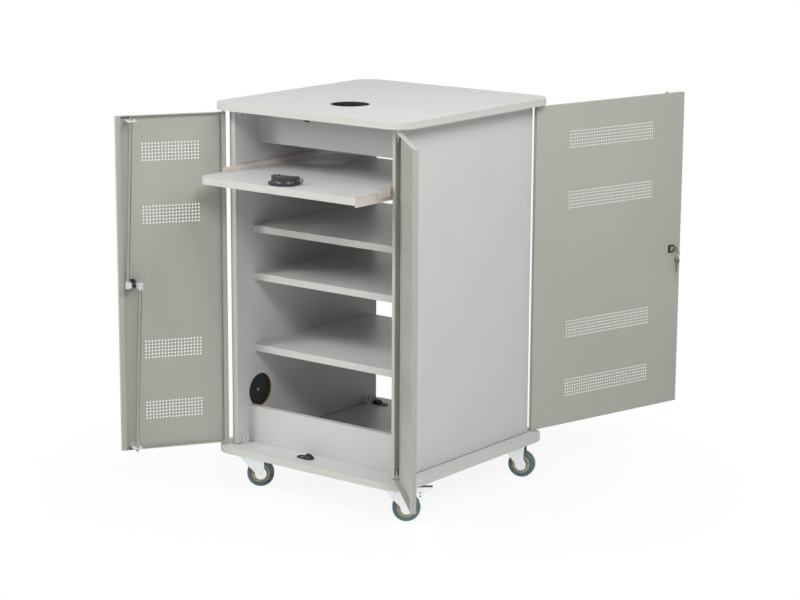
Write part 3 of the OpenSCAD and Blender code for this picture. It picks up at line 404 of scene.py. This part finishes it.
# Powder coat on a casting is a half-matt black, with a deeper peel.
black_coat = coated("black_powder_coat_on_zinc_casting", "#141416", "#1b1b1e", 0.4, 1.0, 0.02, 12)
for node in ("front_lock_body", "rear_lock_body"):
    eased(node, node + "_coated", black_coat, 0.5)
for tag in ("front", "rear"):
    cam = eased(tag + "_cam", tag + "_cam_plated", bright_zinc, 0.3)
    repaint(cam, black_coat, on_nut(tag + "_lock_turn"))
    for part in ("upper", "lower"):
        name = tag + "_" + part + "_rod"
        rod = eased(name, name + "_plated", dull_zinc, 0.5)
        repaint(rod, white_nylon, on_eye(name + "_turn"))
for node in ("front_rod_guides", "rear_rod_guides"):
    eased(node, node + "_moulded", white_nylon, 0.3)


# Keys on a ring: brass blanks, stamped, cut and nickel plated. One is in the rear lock, and the ring of
# 1.6 mm wire hangs from its bow with the spare. Worn nickel is a warm grey metal with fairly sharp
# reflections.
def turned(name, centre, axis, radius, out, along, steps):
    """A closed profile turned about a level axis, with its normals outward.

    P(a, b) = centre + (radius + out(b)) (cos a u + sin a w) + along(b) n, where n is the axis, w is up and
    u = w x n. The profile's out and along are arrays over b.
    """
    n = np.array(axis)
    u, w = np.cross([0, 0, 1], n), np.array([0.0, 0.0, 1.0])
    a = np.linspace(0, 2 * np.pi, steps, False)[:, None, None]
    spokes = np.cos(a) * u + np.sin(a) * w
    points = centre + (radius + out[None, :, None]) * spokes + along[None, :, None] * n
    rows, columns = points.shape[:2]
    i, j = np.meshgrid(np.arange(rows), np.arange(columns), indexing="ij")
    k, m = (i + 1) % rows, (j + 1) % columns
    quads = np.stack([i * columns + j, k * columns + j, k * columns + m, i * columns + m], -1).reshape(-1, 4)
    mesh = bpy.data.meshes.new(name)
    mesh.from_pydata(points.reshape(-1, 3).tolist(), [], quads.tolist())
    shape = bmesh.new()
    shape.from_mesh(mesh)
    bmesh.ops.recalc_face_normals(shape, faces=shape.faces)
    shape.to_mesh(mesh)
    shape.free()
    mesh.shade_smooth()
    return mesh


def wire_ring(name):
    """Torus with its axis along the lock's: out(b) = r cos b, along(b) = r sin b, for a wire of radius r."""
    wire = 0.0016 / 2
    low, high = (np.array(corner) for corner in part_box("key_ring"))
    b = np.linspace(0, 2 * np.pi, 12, False)
    return turned(
        name, (low + high) / 2, joints["rear_lock_turn"]["axis"], (high[2] - low[2]) / 2 - wire,
        wire * np.cos(b), wire * np.sin(b), 64)


nickel = plated("worn_nickel_plate_on_brass", "#a59d8f", "#b8b0a2", 0.3, 2)
for node in ("lock_key", "spare_key"):
    eased(node, node + "_plated", nickel, 0.3)
stands_for(wire_ring("key_ring_wire"), "key_ring_plated", nickel, "key_ring")


# Castors: pressed zinc-plated forks, solid blue-grey rubber tyres on tan nylon centres, and zinc-plated
# pedals with a slate coated tread and dark rivets. Each fork swivels on its plate, which is screwed to the
# base board.
def tyre_surface(name, wheel):
    """Solid tyre: a superellipse of the fifth power, as high as the tyre's wall and as wide as the wheel.

    out(b) = p c and along(b) = q s, where c, s = cos b, sin b, each to the power 2/5, p is half the wall and
    q is half the width.
    """
    wheel_radius, wall, width, power = 0.0375, 0.011, 0.025, 2 / 5
    spot, axle = place_and_axis(wheel)
    b = np.linspace(0, 2 * np.pi, 48, False)
    c, s = (np.sign(v) * np.abs(v) ** power for v in (np.cos(b), np.sin(b)))
    return turned(name, spot, axle, wheel_radius - wall / 2, wall / 2 * c, width / 2 * s, 96)


# Height that parts a pedal's tread plate and its edge from what lies under it.
tread_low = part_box("brake_front_right")[1][2] - 0.0035


def on_tread(p):
    """Test for points on a pedal's tread plate."""
    return p[:, 2] > tread_low


def on_rivets(brake):
    """Test for points on the rivet heads, which stand out from a pedal's cheeks."""
    cheek_face, rivet_face = 0.0101, 0.0125
    spot, along = place_and_axis(brake)

    def test(p):
        aside = np.abs((p - spot) @ along)
        return (aside > cheek_face) & (aside < rivet_face) & (p[:, 2] < tread_low)

    return test


# The rubber is matt, the nylon has a soft sheen, the forks' zinc is nearly white and the tread is half matt.
slate_rubber = moulded("solid_blue_grey_rubber", "#546971", "#5e747c", 0.55, 0.8, 0.02)
tan_nylon = moulded("tan_nylon_wheel_centre", "#a7a284", "#b0ab8e", 0.5)
fork_zinc = plated("pale_zinc_plated_pressed_steel", "#e4e8e9", "#eef1f1", 0.42, 4)
pedal_coat = coated("slate_powder_coat_on_steel", "#50626b", "#5a6c75", 0.4, 1.0, 0.015, 20)
for tag in ("front_left", "front_right", "rear_left", "rear_right"):
    eased("fork_" + tag, "fork_" + tag + "_plated", fork_zinc, 0.5)
    tyre = tyre_surface("tyre_" + tag + "_shape", "castor_" + tag + "_wheel")
    stands_for(tyre, "tyre_" + tag + "_moulded", slate_rubber, "tyre_" + tag)
    eased("hub_" + tag, "hub_" + tag + "_moulded", tan_nylon, 0.4)
for tag in ("front_right", "rear_left"):
    pedal = eased("brake_" + tag, "brake_" + tag + "_plated", fork_zinc, 0.5)
    repaint(pedal, pedal_coat, on_tread)
    repaint(pedal, black_coat, on_rivets("castor_" + tag + "_brake"))


# Studio: white paper on the floor, soft boxes all round and a white surround. The paper keeps the soft shadow
# near the cabinet and runs out to plain white, and the strongest boxes are at the front left and right.
def paper_sheet():
    """A level square, 24 m wide, at the floor."""
    half = 12.0
    corners = np.array([[-half, -half, 0], [half, -half, 0], [half, half, 0], [-half, half, 0]])
    mesh = bpy.data.meshes.new("studio_floor")
    mesh.from_pydata(corners.tolist(), [], [(0, 1, 2, 3)])
    piece = bpy.data.objects.new("studio_floor", mesh)
    bpy.context.scene.collection.objects.link(piece)
    return piece


def seen_white(tree):
    """1 for camera, glossy and transmission rays, 0 for the rest."""
    path = add(tree, "ShaderNodeLightPath")
    most = add(tree, "ShaderNodeMath", {
        0: path.outputs["Is Camera Ray"], 1: path.outputs["Is Glossy Ray"]}, operation="MAXIMUM")
    return add(tree, "ShaderNodeMath", {
        0: most.outputs[0], 1: path.outputs["Is Transmission Ray"]}, operation="MAXIMUM")


floor = paper_sheet()
paper, tree, shader = finish_named("white_studio_paper")
shader.inputs["Base Color"].default_value = linear("#fafafa")
shader.inputs["Roughness"].default_value = 0.9
glow = add(tree, "ShaderNodeEmission", {"Color": (1, 1, 1, 1), "Strength": 1.0})
place = add(tree, "ShaderNodeTexCoord")
reach = add(tree, "ShaderNodeVectorMath", {0: place.outputs["Object"]}, operation="LENGTH")
# The share of plain white is 0.9 up to 0.4 m from the cabinet's middle and 1 from 1.1 m outwards.
share = add(tree, "ShaderNodeMapRange", {
    "Value": reach.outputs["Value"], "From Min": 0.4, "From Max": 1.1, "To Min": 0.9, "To Max": 1.0})
seen = add(tree, "ShaderNodeMath", {
    0: seen_white(tree).outputs[0], 1: share.outputs["Result"]}, operation="MULTIPLY")
blend = add(tree, "ShaderNodeMixShader", {
    "Fac": seen.outputs[0], 1: shader.outputs["BSDF"], 2: glow.outputs["Emission"]})
tree.links.new(blend.outputs["Shader"], tree.nodes["Material Output"].inputs["Surface"])
floor.data.materials.append(paper)

world = bpy.data.worlds.new("white_surround")
world.use_nodes = True
bpy.context.scene.world = world
tree = world.node_tree
plain = tree.nodes["Background"]
plain.inputs["Color"].default_value = (1, 1, 1, 1)
plain.inputs["Strength"].default_value = 0.02
white = add(tree, "ShaderNodeBackground", {"Color": (1, 1, 1, 1), "Strength": 1.0})
both = add(tree, "ShaderNodeMixShader", {
    "Fac": seen_white(tree).outputs[0], 1: plain.outputs["Background"], 2: white.outputs["Background"]})
tree.links.new(both.outputs["Shader"], tree.nodes["World Output"].inputs["Surface"])


def soft_box(name, place, aim, size, power):
    """A square area light at a place, facing a point: its size in metres and its power in watts."""
    lamp = bpy.data.lights.new(name, "AREA")
    lamp.size = size
    lamp.energy = power
    light = bpy.data.objects.new(name, lamp)
    light.location = place
    light.rotation_euler = (Vector(aim) - Vector(place)).to_track_quat("-Z", "Y").to_euler()
    bpy.context.scene.collection.objects.link(light)


body_middle = (0, 0, 0.55)
soft_box("front_left_box", (-1.5, -3.0, 3.8), body_middle, 1.2, 72)
soft_box("left_low_box", (-2.6, -3.6, 2.4), body_middle, 1.2, 58)
soft_box("front_right_box", (3.5, -3.2, 3.6), body_middle, 1.2, 88)
soft_box("right_box", (3.0, 0.2, 3.0), body_middle, 1.2, 35)
soft_box("near_box", (1.5, -0.9, 2.6), (0.7, 0.4, 0.9), 0.6, 15)
soft_box("overhead_box", (-0.4, 0.2, 4.2), (0, 0, 1.0), 2.0, 8)
soft_box("rear_box", (1.2, 5.0, 2.6), body_middle, 1.6, 6)

# Camera: placed and turned as the photograph's edges and vanishing points give, some 6.5 m from the cabinet,
# with a long lens on a 36 mm wide sensor.
yaw, pitch, roll = math.radians(127.554), math.radians(-12.424), math.radians(0.292)
ahead = np.array([math.cos(pitch) * math.cos(yaw), math.cos(pitch) * math.sin(yaw), math.sin(pitch)])
right = np.cross(ahead, [0, 0, 1])
right /= np.linalg.norm(right)
up = np.cross(right, ahead)
right, up = (
    math.cos(roll) * right + math.sin(roll) * up,
    math.cos(roll) * up - math.sin(roll) * right,
)
lens = bpy.data.cameras.new("studio_camera")
lens.lens = 103.94
lens.sensor_width = 36.0
camera = bpy.data.objects.new("studio_camera", lens)
turn = Matrix((right.tolist(), up.tolist(), (-ahead).tolist())).transposed()
camera.matrix_world = Matrix.Translation((3.8372, -4.9111, 1.8861)) @ turn.to_4x4()
bpy.context.scene.collection.objects.link(camera)
bpy.context.scene.camera = camera
bpy.context.scene.view_settings.view_transform = "Standard"
